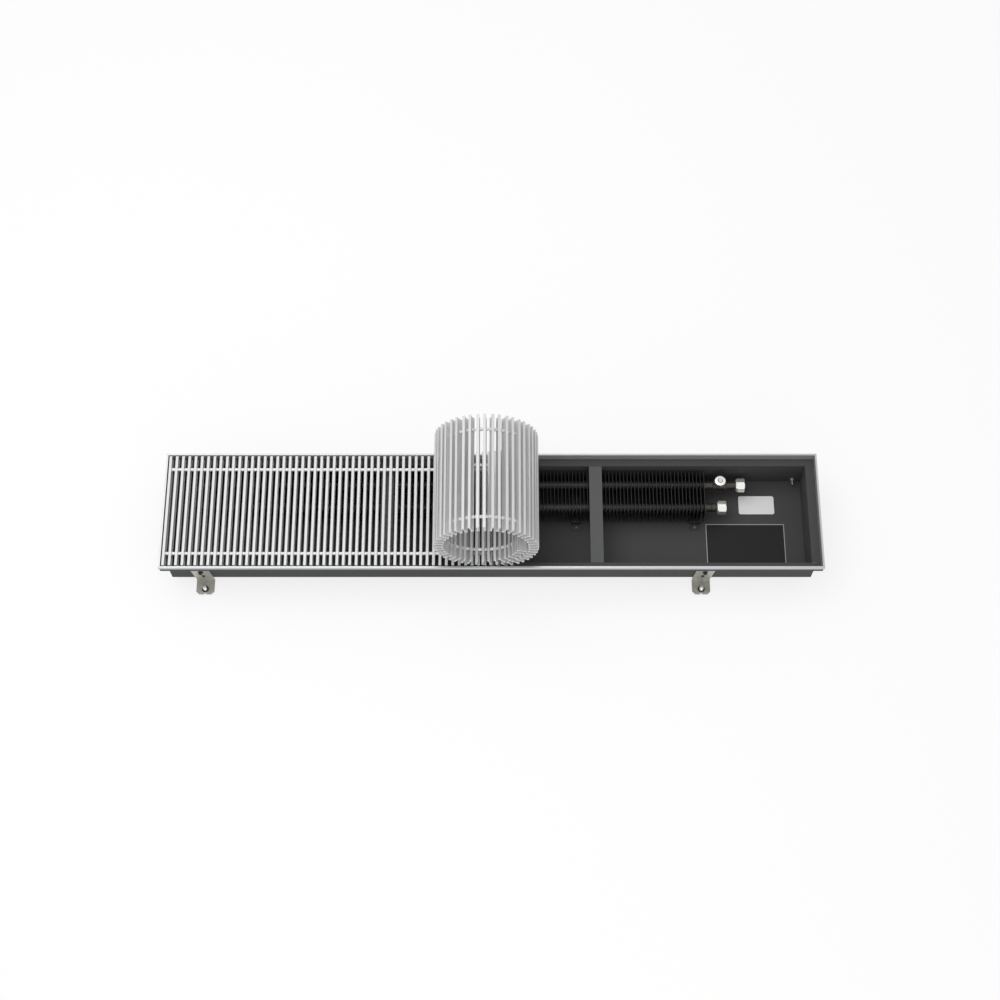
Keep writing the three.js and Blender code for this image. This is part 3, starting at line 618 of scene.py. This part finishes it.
PITCH = 0.0118
PIVOT_GAP = 0.0006
SLEEVE_RADIUS = 0.003
SLEEVE_RIM = 0.0003
LAMELLA_TO_FRAME = 0.002
ROD_FROM_END = 0.0215
TOP = 0.006
BOTTOM = -0.012
HALF_FLANGE = 0.0025
FLANGE_EDGE = 0.0012
FLANGE_ROUND = 0.0004
HALF_WEB = 0.0009
WEB_FILLET = 0.0003
FILLET_START = 0.0026
FILLET_END = 0.0034
lamella_silver = surface("anodised lamellae", (0.57, 0.57, 0.57), (0.72, 0.72, 0.72), 0.4, 0.15,
                         900, (1, 0.015, 1), 0.2)
sleeve_silver = surface("bright spacer sleeves", (0.84, 0.84, 0.84), (0.94, 0.94, 0.94), 0.35, 0.1, 900)
grille_low, grille_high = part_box("grille_flat")
lamella_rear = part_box("frame_rail_back")[0].y - LAMELLA_TO_FRAME
lamella_front = -lamella_rear
rod_height = grille_high.z - TOP
rod_y = grille_high.y - ROD_FROM_END


def add_lamella(mesh, along):
    """One lamella about the rod axis: a plate pinched to its web, with rounded flanges."""
    right = [(HALF_FLANGE - FLANGE_ROUND, TOP), (HALF_FLANGE, TOP - FLANGE_ROUND),
             (HALF_FLANGE, TOP - FLANGE_EDGE), (HALF_WEB + WEB_FILLET, TOP - FILLET_START),
             (HALF_WEB, TOP - FILLET_END), (HALF_WEB, BOTTOM + FILLET_END),
             (HALF_WEB + WEB_FILLET, BOTTOM + FILLET_START), (HALF_FLANGE, BOTTOM + FLANGE_EDGE),
             (HALF_FLANGE, BOTTOM + FLANGE_ROUND), (HALF_FLANGE - FLANGE_ROUND, BOTTOM)]
    outline = right + [(-u, v) for u, v in reversed(right)]
    end = mesh.faces.new([mesh.verts.new((along + u, lamella_front, v)) for u, v in outline])
    bar = bmesh.ops.extrude_face_region(mesh, geom=[end])
    bmesh.ops.translate(mesh, vec=(0, lamella_rear - lamella_front, 0),
                        verts=[item for item in bar["geom"] if isinstance(item, bmesh.types.BMVert)])


def add_sleeves(mesh, start, stop):
    """The two spacer sleeves from start to stop along the grille."""
    length = stop - start
    sleeve = [(0, 0), (SLEEVE_RADIUS - SLEEVE_RIM, 0), (SLEEVE_RADIUS, SLEEVE_RIM),
              (SLEEVE_RADIUS, length - SLEEVE_RIM), (SLEEVE_RADIUS - SLEEVE_RIM, length), (0, length)]
    for y in (rod_y, -rod_y):
        lathe(mesh, sleeve, facing((start, y, 0), (1, 0, 0)), 12)


first_pivot = next(Vector(j["pos_m"]) for j in frame["joints"] if j["name"] == "grille_pivot_01")
flat_count = round((first_pivot.x - grille_low.x - HALF_FLANGE) / PITCH + 0.5)
first_lamella = grille_low.x + HALF_FLANGE
bars = bmesh.new()
add_lamella(bars, first_lamella)
bmesh.ops.translate(bars, vec=(0, 0, rod_height), verts=bars.verts)
flat = finished("flat_lamellae", bars, "grille_flat", lamella_silver, smooth=False,
                replaced=("grille_flat",))
flat_row = flat.modifiers.new("lamella after lamella", "ARRAY")
sleeves = bmesh.new()
add_sleeves(sleeves, first_lamella + HALF_WEB, first_lamella + PITCH - HALF_WEB)
bmesh.ops.translate(sleeves, vec=(0, 0, rod_height), verts=sleeves.verts)
spacers = finished("flat_spacer_sleeves", sleeves, "grille_flat", sleeve_silver)
spacer_row = spacers.modifiers.new("sleeve after sleeve", "ARRAY")
for array, count in ((flat_row, flat_count), (spacer_row, flat_count - 1)):
    array.count = count
    array.use_relative_offset = False
    array.use_constant_offset = True
    array.constant_offset_displace = (PITCH, 0, 0)
last_sleeves = bmesh.new()
add_sleeves(last_sleeves, first_pivot.x - PITCH / 2 + HALF_WEB, first_pivot.x - PIVOT_GAP)
bmesh.ops.translate(last_sleeves, vec=(0, 0, rod_height), verts=last_sleeves.verts)
finished("flat_end_sleeves", last_sleeves, "grille_flat", sleeve_silver)

# The roll follows a spiral: each link of two lamellae turns by its own length over the radius there,
# and the radius shrinks by one layer in a full turn.
LINK_COUNT = 26
LINK_LENGTH = 2 * PITCH
ROLL_RADIUS = 0.093
ROLL_LAYER = 0.0205
place = first_pivot.copy()
turned = 0.0
for number in range(1, LINK_COUNT + 1):
    turned += LINK_LENGTH / (ROLL_RADIUS - ROLL_LAYER * turned / (2 * math.pi))
    node = "grille_link_%02d" % number
    posed = Matrix.Translation(place) @ Matrix.Rotation(-turned, 4, "Y")
    pair = bmesh.new()
    add_lamella(pair, PITCH / 2)
    add_lamella(pair, 1.5 * PITCH)
    bmesh.ops.transform(pair, matrix=posed, verts=pair.verts)
    body = nodes[node]["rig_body"]
    finished("lamella_pair_%02d" % number, pair, body, lamella_silver, smooth=False,
             replaced=(node,))
    rings = bmesh.new()
    add_sleeves(rings, PIVOT_GAP, PITCH / 2 - HALF_WEB)
    add_sleeves(rings, PITCH / 2 + HALF_WEB, 1.5 * PITCH - HALF_WEB)
    if number < LINK_COUNT:
        add_sleeves(rings, 1.5 * PITCH + HALF_WEB, LINK_LENGTH - PIVOT_GAP)
    bmesh.ops.transform(rings, matrix=posed, verts=rings.verts)
    finished("sleeves_%02d" % number, rings, body, sleeve_silver)
    place += Vector((math.cos(turned), 0, math.sin(turned))) * LINK_LENGTH


# ---------------------------------------------------------------- floor, light and camera
# A pale studio floor under a soft lamp from above and a low one from the front. The object is seen
# from in front, at the steep angle of the photograph.

FLOOR_REACH = 25
FLOOR_GREY = 0.97
FLOOR_GLOW = 0.77
ground = bmesh.new()
bmesh.ops.create_grid(ground, x_segments=1, y_segments=1, size=FLOOR_REACH)
bmesh.ops.translate(ground, vec=(0, 0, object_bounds()[0].z), verts=ground.verts)
ground_data = bpy.data.meshes.new("studio floor")
ground.to_mesh(ground_data)
ground.free()
ground_object = bpy.data.objects.new("studio floor", ground_data)
bpy.context.scene.collection.objects.link(ground_object)
ground_paint = bpy.data.materials.new("studio floor white")
ground_paint.use_nodes = True
ground_tree = ground_paint.node_tree
ground_shader = ground_tree.nodes["Principled BSDF"]
ground_shader.inputs["Base Color"].default_value = (FLOOR_GREY, FLOOR_GREY, FLOOR_GREY, 1)
ground_shader.inputs["Roughness"].default_value = 0.9
ground_shader.inputs["Specular IOR Level"].default_value = 0.1


def seen_white(tree):
    """One on rays from the camera, or by way of metal or glass, where the backdrop shows as white."""
    path = tree.nodes.new("ShaderNodeLightPath")
    mirrored = math_node(tree, "ADD", path.outputs["Is Glossy Ray"], path.outputs["Is Transmission Ray"])
    direct = math_node(tree, "ADD", path.outputs["Is Camera Ray"], mirrored)
    return math_node(tree, "MINIMUM", direct, 1.0)


glow = ground_tree.nodes.new("ShaderNodeEmission")
ground_mix = ground_tree.nodes.new("ShaderNodeMixShader")
link(ground_tree, math_node(ground_tree, "MULTIPLY", seen_white(ground_tree), FLOOR_GLOW),
     ground_mix.inputs["Fac"])
link(ground_tree, ground_shader.outputs["BSDF"], ground_mix.inputs[1])
link(ground_tree, glow.outputs["Emission"], ground_mix.inputs[2])
link(ground_tree, ground_mix.outputs["Shader"], ground_tree.nodes["Material Output"].inputs["Surface"])
ground_data.materials.append(ground_paint)

SKY_LIGHT = 0.65
world = bpy.data.worlds.new("studio")
bpy.context.scene.world = world
world.use_nodes = True
sky_tree = world.node_tree
sky = sky_tree.nodes["Background"]
sky.inputs["Color"].default_value = (1, 1, 1, 1)
whitening = math_node(sky_tree, "MULTIPLY", seen_white(sky_tree), 1 - SKY_LIGHT)
link(sky_tree, math_node(sky_tree, "ADD", whitening, SKY_LIGHT), sky.inputs["Strength"])


def lamp(name, size, energy, place, aim):
    """A square soft lamp, aimed at a point."""
    data = bpy.data.lights.new(name, "AREA")
    data.shape = "SQUARE"
    data.size = size
    data.energy = energy
    obj = bpy.data.objects.new(name, data)
    bpy.context.scene.collection.objects.link(obj)
    obj.location = place
    obj.rotation_euler = (Vector(aim) - Vector(place)).to_track_quat("-Z", "Y").to_euler()


lamp("top soft lamp", 2.2, 28, (-0.7, 0.2, 2.4), (0, 0, 0))
lamp("low front lamp", 1.0, 13, (0.3, -2.6, 0.55), (0, 0, 0.05))

CAMERA_LENS = 65.11
CAMERA_PLACE = (0.01566, -1.31287, 3.17323)
CAMERA_TILT = 23.38
camera_data = bpy.data.cameras.new("camera")
camera_data.sensor_width = 36
camera_data.lens = CAMERA_LENS
camera = bpy.data.objects.new("camera", camera_data)
bpy.context.scene.collection.objects.link(camera)
camera.location = CAMERA_PLACE
camera.rotation_euler = (math.radians(CAMERA_TILT), 0, 0)

scene = bpy.context.scene
scene.camera = camera
scene.render.resolution_x = 1000
scene.render.resolution_y = 1000
scene.view_settings.view_transform = "Standard"
